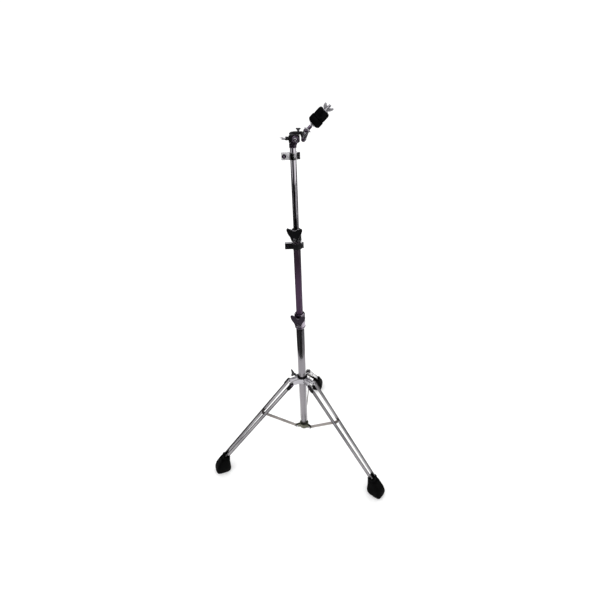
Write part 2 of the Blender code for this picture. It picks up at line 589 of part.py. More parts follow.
def build_boom(parent):
    """The boom rod, stowed inside the column, the casting on its end and its T-screw."""
    frame = empty("boom_slide_axis", (0, 0, 0), parent)
    place("boom_rod", rod(BOOM_R, BOOM_LOW, BOOM_TOP, FINE_ROUND, 0.001), CHROME, frame)
    outline = [(-0.0085, 1.3735), (0.0235, 1.3735), (0.0265, 1.3660)] + arc(ARM_PIVOT, 0.0068, 165, 380, 12)
    outline += [(0.0350, 1.3720), (0.0325, 1.3790), (0.0285, 1.3812), (0.0060, 1.3818), (-0.0060, 1.3800),
                (-0.0085, 1.3780)]
    body = plate(outline, -0.0075, 0.0075)
    cheek_room = box((0.0236, 0.06), (-0.02, -0.0015), (1.33, 1.40))
    rod_room = rod(BOOM_R + GAP, 1.36, BOOM_TOP + GAP, FINE_ROUND)
    screw_room = shifted(rod(0.0022 + GAP, 1.3760, 1.40, 12), T_SCREW_X, 0, 0)
    head = cut(body, cheek_room, rod_room, screw_room, cross_hole(*ARM_PIVOT, 0.0025 + GAP))
    place("boom_head", head, BLACK_METAL, frame)
    screw_axis = empty("t_screw_axis", (T_SCREW_X, 0, 0), frame)
    stem = rod(0.0022, 1.3763, 1.3880, 12)
    bar = shifted(along_x(rod(0.0022, -0.0073, 0.0073, 12, 0.0006)), 0, 0, 1.3890)
    place("tilter_t_screw", joined(bar, stem), BLACK_METAL, screw_axis)
    return frame


def build_arm(parent):
    """The link between the boom's end and the cymbal rod, with its pivot bolt."""
    frame = empty("arm_hinge", (ARM_PIVOT[0], 0, ARM_PIVOT[1]), parent)
    run, rise = ROD_PIVOT[0] - ARM_PIVOT[0], ROD_PIVOT[1] - ARM_PIVOT[1]
    outline = link_outline(math.hypot(run, rise), 0.0070, 0.0085, 10)
    link = moved(plate(outline, -0.0066, -0.0018), Matrix.Rotation(-math.atan2(rise, run), 4, "Y"))
    place("tilter_arm", cut(link, cross_hole(0, 0, 0.0025 + GAP), cross_hole(run, rise, 0.0025 + GAP)),
          DARK_CHROME, frame)
    bolt = pivot_bolt(0.0025, 0.0048, (-0.0100, -0.0069), (0.0078, 0.0106))
    place("tilter_pivot_bolt", bolt, CHROME, frame)
    bolt_axis = empty("tilter_bolt_axis", (run, 0, rise), frame)
    screw = pivot_bolt(0.0025, 0.0048, (-0.0096, -0.0069), (0.0100, 0.0165))
    wing = [(0.0020, 0.0107), (0.0100, 0.0155), (0.0112, 0.0190), (0.0090, 0.0195), (0.0020, 0.0152)]
    flat = prism(wing + [(-x, y) for x, y in reversed(wing)], -0.0014, 0.0014)
    bolt = joined(screw, flat)
    bolt = moved(bolt, Matrix.Rotation(math.radians(38.0), 4, "Y"))
    place("tilter_wing_bolt", bolt, DARK_CHROME, bolt_axis)
    return frame


def build_cymbal_rod(parent):
    """The tilting rod with its seat, sleeve, felts and wing nut."""
    offset = (ROD_PIVOT[0] - ARM_PIVOT[0], 0, ROD_PIVOT[1] - ARM_PIVOT[1])
    frame = empty("cymbal_rod_hinge", offset, parent, (0, ROD_LEAN, 0))
    eye = along_y(rod(0.0080, -0.0015, 0.0095, 24, 0.0006))
    stem = shifted(rod(0.0053, 0.0, 0.0180, 20, 0.0006), 0, ROD_Y, 0)
    body = joined(eye, stem)
    rod_room = shifted(rod(ROD_R + GAP, 0.0095, 0.03, FINE_ROUND), 0, ROD_Y, 0)
    place("cymbal_rod_base", cut(body, cross_hole(0, 0, 0.0025 + GAP), rod_room), DARK_CHROME, frame)
    axis = empty("cymbal_axis", (0, ROD_Y, 0), frame)
    place("cymbal_rod", rod(ROD_R, 0.0098, ROD_END, FINE_ROUND, 0.0006), CHROME, axis)
    inner, hole = ROD_R + GAP, SLEEVE_R + GAP
    seat = turned([(inner, SEAT), (0.0068, SEAT), (0.0075, SEAT + 0.0030), (0.0160, SEAT + 0.0045),
                   (0.0160, LOWER_FELT - GAP), (inner, LOWER_FELT - GAP)])
    place("cymbal_seat", seat, CHROME, axis)
    place("cymbal_sleeve", tube(SLEEVE_R, inner, LOWER_FELT, NUT - GAP, 24), NYLON, axis)
    place("felt_lower", turned([(hole, LOWER_FELT), (0.0180, LOWER_FELT), (0.0205, LOWER_FELT + 0.0030),
                                (0.0207, UPPER_FELT - 0.0030), (0.0192, UPPER_FELT - 0.0005),
                                (hole, UPPER_FELT - 0.0005)]), FELT, axis)
    place("felt_upper", turned([(hole, UPPER_FELT), (0.0178, UPPER_FELT), (0.0190, UPPER_FELT + 0.0020),
                                (0.0190, NUT - 0.0060), (0.0155, NUT - 0.0006),
                                (hole, NUT - 0.0006)]), FELT, axis)
    nut_axis = empty("wing_nut_axis", (0, 0, 0), axis, (0, 0, math.radians(50.0)))
    knob = turned([(0, NUT), (0.0100, NUT), (0.0100, NUT + 0.0015), (0.0072, NUT + 0.0022),
                   (0.0060, NUT + 0.0130), (0, NUT + 0.0130)], 24)
    wing = [(0.0, NUT + 0.0010), (0.0100, NUT + 0.0026), (0.0165, NUT + 0.0075), (0.0215, NUT + 0.0150),
            (0.0212, NUT + 0.0195), (0.0180, NUT + 0.0205), (0.0120, NUT + 0.0150), (0.0050, NUT + 0.0110),
            (0.0, NUT + 0.0105)]
    both = plate(wing + [(-x, z) for x, z in reversed(wing[1:-1])], -0.0018, 0.0018)
    nut = cut(joined(knob, both), rod(inner, NUT - 0.01, ROD_END + 0.02, FINE_ROUND))
    place("cymbal_wing_nut", nut, CHROME, nut_axis)


# ---------------------------------------------------------------- assembly
def build_stand():
    clear_scene()
    stand = empty("stand", (0, COLUMN_Y, 0))
    build_base(stand)
    build_collar(stand)
    lower_bush = build_lower_clamp(stand)
    middle, upper_bush = build_middle(lower_bush)
    build_lock("lower_lock", middle, MIDDLE_R, 1.0080, 0.0220, 0.0175, 0.0410, 0.0310, 0.0208, BLACK_METAL)
    hub = build_hub(stand)
    for name, azimuth in LEG_AZIMUTHS.items():
        build_leg(hub, name, azimuth)
        build_brace(stand, name, azimuth)
    upper = build_upper(upper_bush)
    build_lock("upper_lock", upper, UPPER_R, 1.3020, 0.0210, 0.0140, 0.0365, 0.0280, 0.0182, CHROME)
    boom = build_boom(upper)
    arm = build_arm(boom)
    build_cymbal_rod(arm)


build_stand()
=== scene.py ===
"""Cymbal stand: finished pieces on the CAD frame, their materials, and the studio."""
import math

import bmesh
import bpy
from mathutils import Matrix, Vector, noise


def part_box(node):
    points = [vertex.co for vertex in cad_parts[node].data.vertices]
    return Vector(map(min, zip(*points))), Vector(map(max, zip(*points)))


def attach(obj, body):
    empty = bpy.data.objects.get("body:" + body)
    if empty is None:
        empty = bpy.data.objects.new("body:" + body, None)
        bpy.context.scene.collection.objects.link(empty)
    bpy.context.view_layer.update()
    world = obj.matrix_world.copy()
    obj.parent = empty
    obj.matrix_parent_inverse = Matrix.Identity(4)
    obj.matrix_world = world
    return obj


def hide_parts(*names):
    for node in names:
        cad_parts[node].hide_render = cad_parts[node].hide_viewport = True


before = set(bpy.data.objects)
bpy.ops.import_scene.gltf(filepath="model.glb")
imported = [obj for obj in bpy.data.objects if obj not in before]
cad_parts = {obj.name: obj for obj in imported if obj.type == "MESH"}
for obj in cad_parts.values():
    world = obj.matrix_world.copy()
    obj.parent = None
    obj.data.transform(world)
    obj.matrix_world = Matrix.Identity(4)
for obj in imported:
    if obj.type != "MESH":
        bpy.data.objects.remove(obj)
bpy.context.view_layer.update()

# ---------------------------------------------------------------- places taken from the CAD, in metres
TUBE_LOW, TUBE_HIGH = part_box("base_tube")
COLUMN = Vector((0.0, (TUBE_LOW.y + TUBE_HIGH.y) / 2, 0.0))
LEGS = {"right": -30.0, "rear": 90.0, "left": 210.0}      # azimuths
HUB_PIVOT = (0.0540, 0.4080)      # a leg's hinge: radius and height
COLLAR_PIVOT = (0.0360, 0.1420)   # a brace's hinge: radius and height
LEG_SLOPE = math.radians(46.0)
BRACE_JOINT = 0.1830              # along the leg from its hinge
RAIL_END = 0.4590
RAIL_INSIDE = (0.0135, 0.0072)    # a rail's inner face from the leg's middle, at its top and at its foot
BASE_TUBE = (0.0159, 0.0012, 0.128, 0.735)        # outer radius, wall, low and high end
MIDDLE_TUBE = (0.0127, 0.0013, 0.420, 1.072)
UPPER_TUBE = (0.00955, 0.0012, 0.650, 1.346)
ROD_PIVOT = (0.0430, 1.3833)      # x and z of the cymbal rod's joint
ARM_PIVOT = (0.0339, 1.3594)      # x and z of the tilter arm's joint
ROD_LEAN = math.radians(46.5)
ROD_Y = 0.0042
RATCHET = (0.0112, 1.3614)        # x and z of the toothed disc
SCREW_X = 0.0182                  # the T-screw's axis
FRONT = -90                       # azimuths of the screws and of the memory locks
HUB_SCREW_SIDE = 150
LOCK_SIDE = 192.0
HUB_SCREW_Z, LOWER_SCREW_Z, UPPER_SCREW_Z, BOOM_SCREW_Z = 0.4110, 0.7095, 1.0520, 1.3620
LOWER_CLAMP_Z, UPPER_CLAMP_Z = (0.678, 0.742), (1.034, 1.078)
LOWER_LOCK_Z, UPPER_LOCK_Z = (1.0080, 1.0300), (1.3020, 1.3230)


# ---------------------------------------------------------------- materials
def surface(name, base, second, metallic, rough, grain=(60, 60, 60), mottle=(9, 9, 9), bump=0.1, gloss=0.5,
            fade=None, streaks=None, wear=None):
    """A procedural finish in object space: two tones, varied roughness and a fine bump.

    grain and mottle scale the fine and the broad noise along X, Y and Z. gloss is the specular level. fade
    is (low z, high z, colour), a tone that comes in with height. streaks is (colour, [(azimuth, half width),
    ...]), bands painted up a round piece in place of dark reflections, which turn with it. wear is a colour
    that shows on the edges.
    """
    made = bpy.data.materials.new(name)
    made.use_nodes = True
    nodes, links = made.node_tree.nodes, made.node_tree.links
    shader = nodes["Principled BSDF"]
    place = nodes.new("ShaderNodeTexCoord")

    def noise_at(scale, detail, stretch):
        fit = nodes.new("ShaderNodeMapping")
        fit.inputs["Scale"].default_value = stretch
        cloud = nodes.new("ShaderNodeTexNoise")
        cloud.inputs["Scale"].default_value = scale
        cloud.inputs["Detail"].default_value = detail
        links.new(place.outputs["Object"], fit.inputs["Vector"])
        links.new(fit.outputs["Vector"], cloud.inputs["Vector"])
        return cloud.outputs["Fac"]

    def blend(factor, low, high):
        mixer = nodes.new("ShaderNodeMix")
        mixer.data_type = "RGBA"
        links.new(factor, mixer.inputs[0])
        for socket, value in ((mixer.inputs[6], low), (mixer.inputs[7], high)):
            if isinstance(value, bpy.types.NodeSocket):
                links.new(value, socket)
            else:
                socket.default_value = (*value, 1.0)
        return mixer.outputs[2]

    def spread(value, low, high, to_low, to_high):
        scaled = nodes.new("ShaderNodeMapRange")
        scaled.interpolation_type = "SMOOTHSTEP"
        links.new(value, scaled.inputs["Value"])
        ends = {"From Min": low, "From Max": high, "To Min": to_low, "To Max": to_high}
        for socket, number in ends.items():
            scaled.inputs[socket].default_value = number
        return scaled.outputs["Result"]

    def maths(kind, *values):
        node = nodes.new("ShaderNodeMath")
        node.operation = kind
        for socket, value in zip(node.inputs, values):
            if isinstance(value, bpy.types.NodeSocket):
                links.new(value, socket)
            else:
                socket.default_value = value
        return node.outputs[0]

    clouds = noise_at(1.0, 3.0, mottle)
    colour = blend(spread(clouds, 0.4, 0.65, 0.0, 1.0), base, second)
    split = nodes.new("ShaderNodeSeparateXYZ")
    links.new(place.outputs["Object"], split.inputs["Vector"])
    if fade:
        colour = blend(spread(split.outputs["Z"], fade[0], fade[1], 0.0, 1.0), colour, fade[2])
    if streaks:
        across = maths("SUBTRACT", split.outputs["Y"], COLUMN.y)
        turn = maths("ARCTAN2", across, split.outputs["X"])
        for azimuth, half in streaks[1]:
            away = maths("ABSOLUTE", maths("SUBTRACT", turn, math.radians(azimuth)))
            band = spread(away, math.radians(half) * 0.45, math.radians(half), 1.0, 0.0)
            colour = blend(band, colour, streaks[0])
    if wear:
        rounding = nodes.new("ShaderNodeNewGeometry")
        edges = spread(rounding.outputs["Pointiness"], 0.53, 0.60, 0.0, 1.0)
        colour = blend(edges, colour, wear)
    links.new(colour, shader.inputs["Base Color"])
    links.new(spread(noise_at(2.3, 5.0, mottle), 0.35, 0.7, *rough), shader.inputs["Roughness"])
    shader.inputs["Metallic"].default_value = metallic
    shader.inputs["Specular IOR Level"].default_value = gloss
    relief = nodes.new("ShaderNodeBump")
    relief.inputs["Strength"].default_value = bump
    relief.inputs["Distance"].default_value = 0.0004
    links.new(noise_at(12.0, 6.0, grain), relief.inputs["Height"])
    links.new(relief.outputs["Normal"], shader.inputs["Normal"])
    return made


DRAWN = {"grain": (60, 60, 6), "mottle": (14, 14, 2), "bump": 0.03}       # marks that run along a tube

CHROME = surface("chrome", (0.50, 0.49, 0.51), (0.38, 0.37, 0.40), 1.0, (0.06, 0.16), bump=0.03)
TUBE_CHROME = surface("tube_chrome", (0.28, 0.265, 0.28), (0.21, 0.20, 0.22), 1.0, (0.07, 0.16), **DRAWN)
LEG_CHROME = surface("leg_chrome", (0.33, 0.32, 0.33), (0.22, 0.21, 0.22), 1.0, (0.09, 0.22), bump=0.04)
BRACE_CHROME = surface("brace_chrome", (0.30, 0.275, 0.26), (0.21, 0.19, 0.18), 1.0, (0.14, 0.30), bump=0.05)
COLLAR_METAL = surface("collar_metal", (0.14, 0.14, 0.11), (0.08, 0.08, 0.065), 1.0, (0.18, 0.36), bump=0.08)
MIDDLE_CHROME = surface("middle_chrome", (0.092, 0.052, 0.098), (0.074, 0.043, 0.080), 0.35, (0.10, 0.22),
                        fade=(0.84, 0.98, (0.030, 0.018, 0.030)), **DRAWN)
UPPER_CHROME = surface("upper_chrome", (0.42, 0.40, 0.43), (0.30, 0.28, 0.31), 1.0, (0.06, 0.14),
                       streaks=((0.02, 0.018, 0.022), [(-91.0, 24.0), (-148.0, 36.0), (12.0, 32.0)]),
                       **DRAWN)
SATIN = surface("satin_chrome", (0.60, 0.59, 0.61), (0.50, 0.49, 0.51), 0.6, (0.36, 0.50), bump=0.04)
LOCK_CHROME = surface("lock_chrome", (0.58, 0.57, 0.59), (0.46, 0.45, 0.47), 1.0, (0.08, 0.18), bump=0.03,
                      streaks=((0.03, 0.03, 0.032), [(-98.0, 34.0)]))
CLAMP_CHROME = surface("clamp_chrome", (0.46, 0.41, 0.48), (0.36, 0.32, 0.38), 1.0, (0.08, 0.18), bump=0.03,
                       streaks=((0.05, 0.034, 0.060), [(-106.0, 66.0)]))
DARK_CHROME = surface("dark_chrome", (0.18, 0.14, 0.20), (0.09, 0.07, 0.10), 1.0, (0.08, 0.22), bump=0.04)
PLUM = surface("plum_metal", (0.014, 0.009, 0.018), (0.023, 0.014, 0.028), 0.2, (0.16, 0.32), bump=0.06,
               gloss=0.35)
BRASSY = surface("brassy_joint", (0.30, 0.25, 0.14), (0.13, 0.11, 0.08), 1.0, (0.12, 0.30), bump=0.05)
BLACK = surface("black_metal", (0.0022, 0.0022, 0.0028), (0.006, 0.0055, 0.0065), 0.0, (0.20, 0.38),
                bump=0.10, gloss=0.15, wear=(0.05, 0.05, 0.055))
NYLON = surface("moulded_nylon", (0.0016, 0.0016, 0.0020), (0.0040, 0.0040, 0.0045), 0.0, (0.38, 0.55),
                bump=0.12, gloss=0.08)
RUBBER = surface("foot_rubber", (0.0008, 0.0008, 0.0009), (0.0022, 0.0022, 0.0022), 0.0, (0.55, 0.80),
                 bump=0.22, gloss=0.03)
FELT = surface("pressed_felt", (0.0010, 0.0010, 0.0012), (0.0030, 0.0030, 0.0034), 0.0, (0.90, 1.0),
               (90, 90, 90), (60, 60, 60), 0.9, gloss=0.03)


# ---------------------------------------------------------------- shapes
def finished(bm):
    """The bmesh as a mesh whose faces all look outward."""
    bmesh.ops.recalc_face_normals(bm, faces=bm.faces)
    mesh = bpy.data.meshes.new("shape")
    bm.to_mesh(mesh)
    bm.free()
    return mesh


def loft(rings, closed=False):
    """A skin over a row of rings. A closed one joins its ends; otherwise they are capped."""
    bm = bmesh.new()
    rows = [[bm.verts.new(p) for p in ring] for ring in rings]
    count = len(rows[0])
    for low, high in zip(rows, rows[1:] + (rows[:1] if closed else [])):
        for k in range(count):
            n = (k + 1) % count
            bm.faces.new((low[k], low[n], high[n], high[k]))
    if not closed:
        bm.faces.new(rows[0])
        bm.faces.new(rows[-1])
    return finished(bm)


def lathe(profile, sides=64, loop=False):
    """A (radius, height) profile turned about Z. A loop closes on itself; otherwise the ends are capped."""
    turn = [2 * math.pi * k / sides for k in range(sides)]
    return loft([[(r * math.cos(a), r * math.sin(a), z) for a in turn] for r, z in profile], loop)


def curved(points, per=5):
    """A closed outline smoothed through its points."""
    out, count = [], len(points)
    for k in range(count):
        a, b, c, d = (Vector(points[(k + j) % count]) for j in (-1, 0, 1, 2))
        for step in range(per):
            t = step / per
            out.append(tuple(0.5 * (2 * b + (c - a) * t + (2 * a - 5 * b + 4 * c - d) * t * t
                                    + (3 * b - a - 3 * c + d) * t ** 3)))
    return out


def slab(outline, low, high, bend=None):
    """An (x, z) outline between two y places; bend moves each point."""
    rings = [[Vector((x, y, z)) for x, z in outline] for y in (low, high)]
    if bend:
        rings = [[bend(p) for p in ring] for ring in rings]
    return loft(rings)


def arc(cx, cz, radius, start, end, steps):
    """Points on an arc about (cx, cz), from one angle in degrees to another."""
    turn = [math.radians(start + (end - start) * k / steps) for k in range(steps + 1)]
    return [(cx + radius * math.cos(a), cz + radius * math.sin(a)) for a in turn]


def merged(*meshes):
    """Several meshes as one."""
    bm = bmesh.new()
    for mesh in meshes:
        bm.from_mesh(mesh)
    mesh = bpy.data.meshes.new("shape")
    bm.to_mesh(mesh)
    bm.free()
    return mesh


def turned(mesh, *steps):
    """The mesh after each placing step in turn."""
    for step in steps:
        mesh.transform(step)
    return mesh


def spin(degrees, axis):
    return Matrix.Rotation(math.radians(degrees), 4, axis)


def shift(x, y, z):
    return Matrix.Translation((x, y, z))


ON_X = spin(90, "Y")          # what stood along +Z lies along +X
ON_Y = spin(-90, "X")         # what stood along +Z lies along +Y
OFF_Y = spin(90, "X")         # what stood along +Z lies along -Y
AT_COLUMN = Matrix.Translation(COLUMN)


def piece(name, mesh, body, finish, at=AT_COLUMN, bevel=0.0, steps=2, replaces=None, rim=None, smooth=35):
    """A finished piece that rides on a body; rim is the finish of its rounded edges."""
    mesh.transform(at)
    mesh.name = name
    obj = bpy.data.objects.new(name, mesh)
    bpy.context.collection.objects.link(obj)
    mesh.materials.append(finish)
    mesh.shade_smooth()
    if bevel:
        edge = obj.modifiers.new("edges", "BEVEL")
        edge.width = bevel
        edge.segments = steps
        edge.limit_method = "ANGLE"
        edge.angle_limit = math.radians(28)
        edge.harden_normals = True
        if rim:
            mesh.materials.append(rim)
            edge.material = 1
    else:
        mesh.set_sharp_from_angle(angle=math.radians(smooth))
    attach(obj, body)
    if replaces:
        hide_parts(replaces)
    return obj


def from_cad(node):
    """The CAD node's own shape with its flat faces made whole again, ready for rounded edges."""
    bm = bmesh.new()
    bm.from_mesh(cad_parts[node].data)
    bmesh.ops.remove_doubles(bm, verts=bm.verts, dist=0.00001)
    bmesh.ops.dissolve_limit(bm, angle_limit=math.radians(1.0), verts=bm.verts, edges=bm.edges)
    bmesh.ops.delete(bm, geom=[v for v in bm.verts if not v.link_faces], context="VERTS")
    return finished(bm)


def refined(node, body, finish, bevel, rim=None, paint=None):
    """The CAD node with rounded edges. paint is (finish, test of a face's centre) for a second tone."""
    obj = piece(node + "_finished", from_cad(node), body, finish, Matrix(), bevel, 3, node, rim)
    if paint:
        obj.data.materials.append(paint[0])
        for face in obj.data.polygons:
            if paint[1](face.center):
                face.material_index = len(obj.data.materials) - 1
    return obj


def thread(radius, depth, pitch, low, high, sides=20):
    """A screw thread along Z as one helical ridge."""
    rows = []
    steps = int((high - low) / pitch * sides)
    for k in range(steps + 1):
        a = 2 * math.pi * k / sides
        z = low + pitch * k / sides
        out = Vector((math.cos(a), math.sin(a), 0))
        rows.append([out * (radius - 0.0003) + Vector((0, 0, z - pitch * 0.42)),
                     out * (radius + depth) + Vector((0, 0, z)),
                     out * (radius - 0.0003) + Vector((0, 0, z + pitch * 0.42))])
    return loft(rows)


# ---------------------------------------------------------------- column
def pipe(name, size, body, finish, node):
    """An open tube with eased ends."""
    outer, wall, low, high = size
    inner = outer - wall
    profile = [(outer, low + 0.0006), (outer, high - 0.0006), (outer - 0.0004, high), (inner + 0.0002, high),
               (inner, high - 0.0003), (inner, low + 0.0003), (inner + 0.0002, low), (outer - 0.0004, low)]
    piece(name, lathe(profile, 96, True), body, finish, replaces=node)


pipe("base_pipe", BASE_TUBE, "base_column", TUBE_CHROME, "base_tube")
pipe("middle_pipe", MIDDLE_TUBE, "middle_column", MIDDLE_CHROME, "middle_tube")
pipe("upper_pipe", UPPER_TUBE, "upper_column", UPPER_CHROME, "upper_tube")
boom_bar = lathe([(0.0050, 0.8000), (0.00635, 0.8014), (0.00635, 1.3771), (0.0050, 1.3785)])
piece("boom_bar", boom_bar, "boom", CHROME, replaces="boom_rod")
cap = lathe([(0.0090, 0.1225), (0.0128, 0.1231), (0.0152, 0.1246), (0.0152, 0.1277), (0.0144, 0.1277),
             (0.0144, 0.1400)])
piece("base_end_cap", cap, "base_column", RUBBER, bevel=0.0005, replaces="base_tube_cap")


def wings(span, top, notch, thick, reach, flare):
    """A fan of two wings across X with a shallow notch between them; it leans outward with height."""
    half = [(0.0100, -0.0060), (span * 0.58, top * 0.18), (span * 0.86, top * 0.48), (span, top * 0.80),
            (span * 0.90, top * 0.985), (span * 0.70, top * 0.965), (span * 0.38, top * 0.875),
            (0.0062, notch)]
    outline = [(0.0, -0.0095)] + half + [(0.0, notch - 0.0012)] + [(-x, z) for x, z in reversed(half)]

    def lean(p):
        high = max(0.0, p.z / top)
        side = p.y / thick
        return Vector((reach + thick * side * (1.15 - 0.45 * high) + flare * high ** 2, p.x, p.z))

    return slab(curved(outline, 5), -thick / 2, thick / 2, lean)


def wing_bolt(name, body, node, height, seat, barrel, spread, shank, finish):
    """A cast wing bolt at the front: stepped barrel, V wings whose upward-facing top edges carry chrome as a
    painted highlight, and a shank.

    barrel is (radius, length), spread is what wings() takes and shank is (radius, tip).
    """
    radius, long = barrel
    knob = lathe([(radius - 0.0006, seat), (radius, seat + 0.0006), (radius, seat + long * 0.62),
                  (radius - 0.0016, seat + long * 0.86), (radius - 0.0034, seat + long)], 48)
    washer = lathe([(radius + 0.0016, seat + 0.0001), (radius + 0.0016, seat + 0.0011)], 48)
    stem = lathe([(shank[0] - 0.0004, shank[1]), (shank[0], shank[1] + 0.0006),
                  (shank[0], seat + 0.001)], 32)
    at = AT_COLUMN @ shift(0, 0, height) @ spin(FRONT, "Z")
    made = piece(name, merged(turned(knob, ON_X), wings(*spread)), body, finish, at, 0.0010, 3, node, CHROME)
    # painted highlight: bare-metal chrome goes only on the faces high on the wings that look up, where light
    # from above catches them
    for face in made.data.polygons:
        face.material_index = int(face.normal.z > 0.6 and face.center.z > height + 0.02)
    piece(name + "_stem", merged(turned(stem, ON_X), turned(washer, ON_X)), body, CHROME, at, 0.0002)


wing_bolt("lower_wings", "lower_bolt", "lower_wing_bolt", LOWER_SCREW_Z, 0.0280, (0.0075, 0.0130),
          (0.0280, 0.0435, 0.0290, 0.0050, 0.0336, 0.0020), (0.0040, 0.0149), PLUM)
wing_bolt("upper_wings", "upper_bolt", "upper_wing_bolt", UPPER_SCREW_Z, 0.0240, (0.0070, 0.0120),
          (0.0265, 0.0395, 0.0318, 0.0048, 0.0294, 0.0018), (0.0040, 0.0116), BLACK)


def clamp_sleeve(name, body, finish, outer, span, mouth, trim):
    """The cast clamp with rounded edges, a nylon lip at its mouth and a band at its foot."""
    low, high = span
    refined(name, body, finish, 0.0010, paint=(trim, lambda centre: centre.z < low + 0.0170))
    lip = lathe([(mouth, high - 0.0030), (mouth, high + 0.0012), (mouth + 0.0022, high + 0.0012),
                 (mouth + 0.0030, high + 0.0002), (mouth + 0.0030, high - 0.0030)], 72, True)
    piece(name + "_lip", lip, body, NYLON, bevel=0.0003)
    band = lathe([(outer - 0.0008, low + 0.0045), (outer + 0.0005, low + 0.0050),
                  (outer + 0.0005, low + 0.0078), (outer - 0.0008, low + 0.0083)], 72, True)
    piece(name + "_band", band, body, trim)


clamp_sleeve("lower_clamp", "base_column", CLAMP_CHROME, 0.0205, LOWER_CLAMP_Z, 0.0131, PLUM)
clamp_sleeve("upper_clamp", "middle_column", BLACK, 0.0165, UPPER_CLAMP_Z, 0.0099, BLACK)


def key_bolt(name, body, at, node):
    """A square-headed key bolt: domed flange, square drive and turned shank."""
    base = lathe([(0.0055, 0.0051), (0.0055, 0.0060), (0.00429, 0.0070), (0.0030, 0.0072)], 40)
    drive = [(-0.0030, -0.0030), (0.0030, -0.0030), (0.0030, 0.0030), (-0.0030, 0.0030)]
    head = loft([[(x, y, z) for x, y in drive] for z in (0.0066, 0.0104)])
    stem = lathe([(0.0022, -0.0060), (0.0025, -0.0055), (0.0025, 0.0055)], 24)
    piece(name, merged(turned(base, ON_Y), turned(stem, ON_Y)), body, BLACK, at, 0.0003, 2, node)
    piece(name + "_drive", turned(head, ON_Y), body, DARK_CHROME, at, 0.0004)


def memory_lock(prefix, column, jaw, span, outer, bolt_x, hinge_x, finish, heel, lug):
    """A two-piece locking ring: top faces painted chrome as a highlight from above, its own finish on the
    hinge's heel and the bolt's lug.
    """
    height = span[1] - span[0]
    at = AT_COLUMN @ shift(0, 0, span[0]) @ spin(LOCK_SIDE, "Z")
    back = at.inverted()

    def behind(centre):
        return (back @ centre).x < -outer * 0.93

    for half, body in (("_back", column), ("_jaw", jaw)):
        made = refined(prefix + half, body, finish, 0.0010, CHROME, (heel, behind))
        made.data.materials.append(lug)
        for face in made.data.polygons:
            # painted highlight: faces that look straight up take the chrome finish, standing in for light
            # from above
            if face.normal.z > 0.9:
                face.material_index = 1
            elif (back @ face.center).x > outer:
                face.material_index = 3
    key_bolt(prefix + "_key", jaw, at @ shift(bolt_x, 0, height / 2), prefix + "_bolt")
    cup = lathe([(0.0057, 0.0049), (0.0066, 0.0049), (0.0066, 0.0074), (0.0060, 0.0074),
                 (0.0057, 0.0060)], 48, True)
    piece(prefix + "_recess", turned(cup, ON_Y), jaw, NYLON, at @ shift(bolt_x, 0, height / 2))
    pin = lathe([(0.0010, -0.0003), (0.0017, 0.0002), (0.0017, height - 0.0002),
                 (0.0010, height + 0.0003)], 24)
    piece(prefix + "_pin", pin, jaw, CHROME, at @ shift(-hinge_x, 0, 0))


memory_lock("lower_lock", "middle_column", "lower_jaw", LOWER_LOCK_Z, 0.0175, 0.0310, 0.0208,
            BLACK, CHROME, BLACK)
memory_lock("upper_lock", "upper_column", "upper_jaw", UPPER_LOCK_Z, 0.0140, 0.0280, 0.0182,
            LOCK_CHROME, BLACK, SATIN)

# ---------------------------------------------------------------- tripod
refined("brace_collar", "base_column", COLLAR_METAL, 0.0008)
refined("leg_hub", "hub", CHROME, 0.0008)
liner = lathe([(0.0162, 0.3985), (0.0177, 0.3985), (0.0177, 0.4243), (0.0208, 0.4243), (0.0215, 0.4250),
               (0.0215, 0.4288), (0.0205, 0.4300), (0.0162, 0.4300)], 80, True)
piece("hub_liner", liner, "hub", NYLON, bevel=0.0002, replaces="hub_ring")
hub_at = AT_COLUMN @ shift(0, 0, HUB_SCREW_Z) @ spin(HUB_SCREW_SIDE, "Z")
small = curved([(0.0442, 0.0018), (0.0462, 0.0065), (0.0528, 0.0140), (0.0576, 0.0178), (0.0624, 0.0177),
                (0.0641, 0.0145), (0.0608, 0.0070), (0.0590, 0.0)], 4)
hub_wings = merged(slab(small, -0.0017, 0.0017), slab([(x, -z) for x, z in small], -0.0017, 0.0017))
hub_knob = lathe([(0.0050, 0.0345), (0.0055, 0.0350), (0.0055, 0.0470), (0.0038, 0.0500)], 40)
hub_stem = lathe([(0.0026, 0.0162), (0.0030, 0.0168), (0.0030, 0.0360)], 32)
hub_bolt = merged(turned(hub_knob, ON_X), turned(hub_stem, ON_X), hub_wings)
piece("hub_wings", hub_bolt, "hub_bolt", BLACK, hub_at, 0.0006, 2, "hub_wing_bolt", CHROME)


def rail_inside(at):
    """How far a rail's inner face stands from the leg's middle, at one place along the leg."""
    return RAIL_INSIDE[0] + (RAIL_INSIDE[1] - RAIL_INSIDE[0]) * at / RAIL_END


def rail_section(at, side, shrink=1.0):
    """The channel's outline at one place along the leg: web inside, two rolled flanges outward."""
    inside = rail_inside(at)
    half, wall, width, roll = 0.0080 * shrink, 0.0016, 0.0045, 0.0011
    outline = [(inside, -half + roll), (inside + roll * 0.3, -half + roll * 0.3), (inside + roll, -half),
               (inside + width - 0.0005, -half), (inside + width, -half + 0.0005),
               (inside + width, -half + wall - 0.0004), (inside + width - 0.0004, -half + wall),
               (inside + wall + 0.0006, -half + wall), (inside + wall, -half + wall + 0.0006)]
    ring = outline + [(y, -z) for y, z in reversed(outline)]
    return [(at, side * y, z) for y, z in ring]


def foot_ring(r, z, tilt, long, wide, count=56):
    """A foot's section, a rounded rectangle about radius r and height z, in the leg's hinge frame."""
    c, s = math.cos(LEG_SLOPE), math.sin(LEG_SLOPE)
    points = []
    for k in range(count):
        a = 2 * math.pi * (k + 0.5) / count
        u = math.copysign(abs(math.cos(a)) ** 0.5, math.cos(a)) * long
        v = math.copysign(abs(math.sin(a)) ** 0.5, math.sin(a)) * wide
        dx, dz = r + u * math.cos(tilt) - HUB_PIVOT[0], z + u * math.sin(tilt) - HUB_PIVOT[1]
        points.append(Vector((dx * c - dz * s, v, dx * s + dz * c)))
    return points


